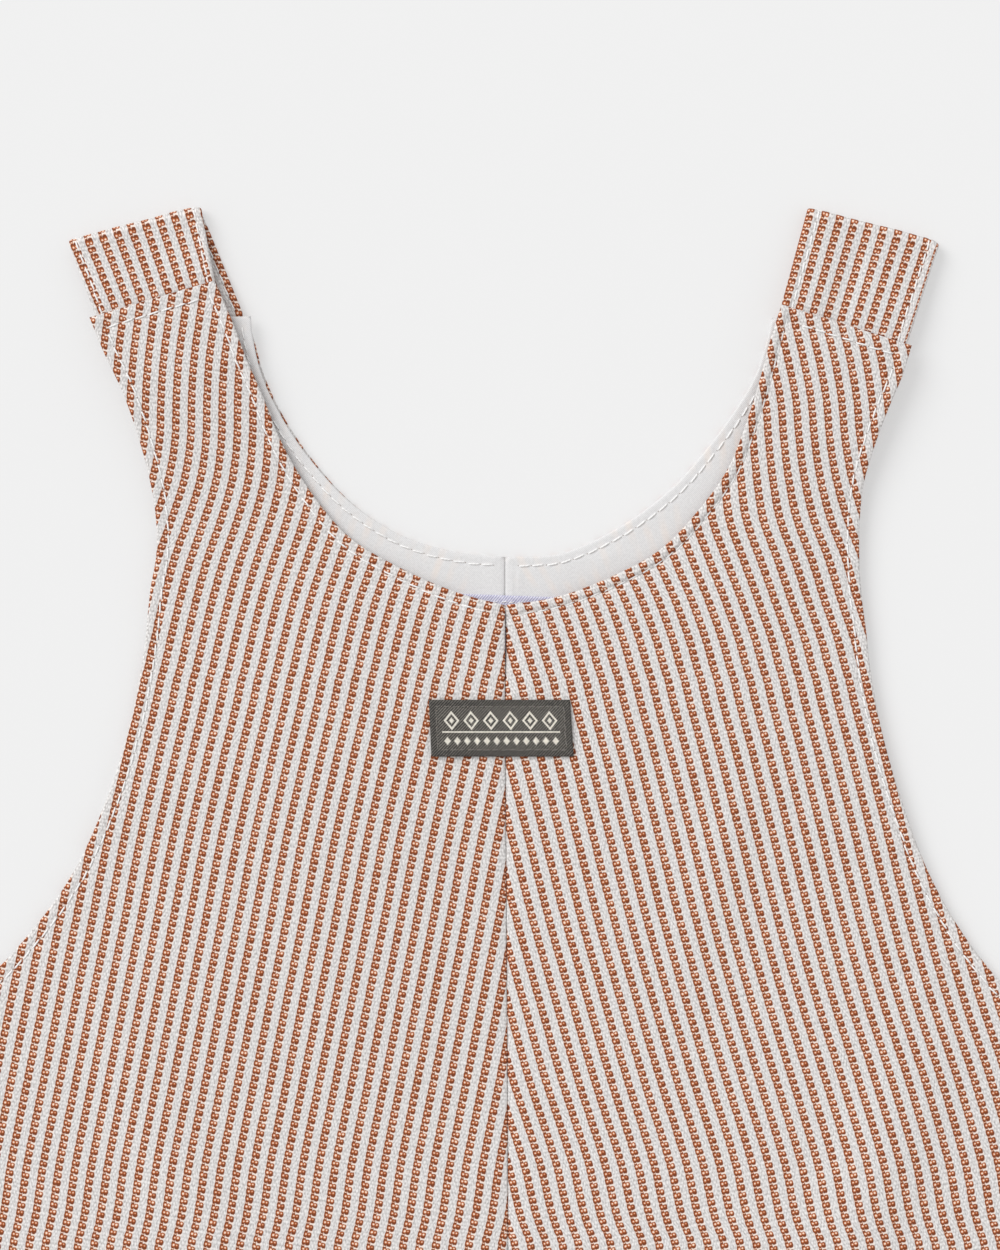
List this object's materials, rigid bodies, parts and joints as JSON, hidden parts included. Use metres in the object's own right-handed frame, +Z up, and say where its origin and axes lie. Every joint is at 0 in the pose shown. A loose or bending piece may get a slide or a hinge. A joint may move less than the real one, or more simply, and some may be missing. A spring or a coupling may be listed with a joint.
{
  "type": "baby's bib dungarees",
  "caption": "Baby's striped cotton bib dungarees laid flat, with folded shoulder straps, a scooped neck with a white back facing, deep armholes and straight legs.",
  "frame": {"origin": "centre of the garment's outline on the surface that it lies on", "axes": "+Z up from the surface, +Y towards the shoulder straps, +X towards the wearer's left side"},
  "size_m": [0.3104, 0.5597, 0.0069],
  "materials": {
    "striped_cotton": "cotton dobby stripe, white and rust brown, matt",
    "white_cotton": "white cotton plain weave, matt",
    "woven_label": "dark grey woven label with cream ornament",
    "twill_label": "light lilac-blue twill label, faint sheen"
  },
  "bodies": {
    "root": {"front_right": "striped_cotton", "front_left": "striped_cotton", "back_right": "striped_cotton", "back_left": "striped_cotton", "strap_right": "striped_cotton", "strap_left": "striped_cotton", "facing_right": "white_cotton", "facing_left": "white_cotton", "front_label": "woven_label", "neck_label": "twill_label"}
  },
  "joints": []
}
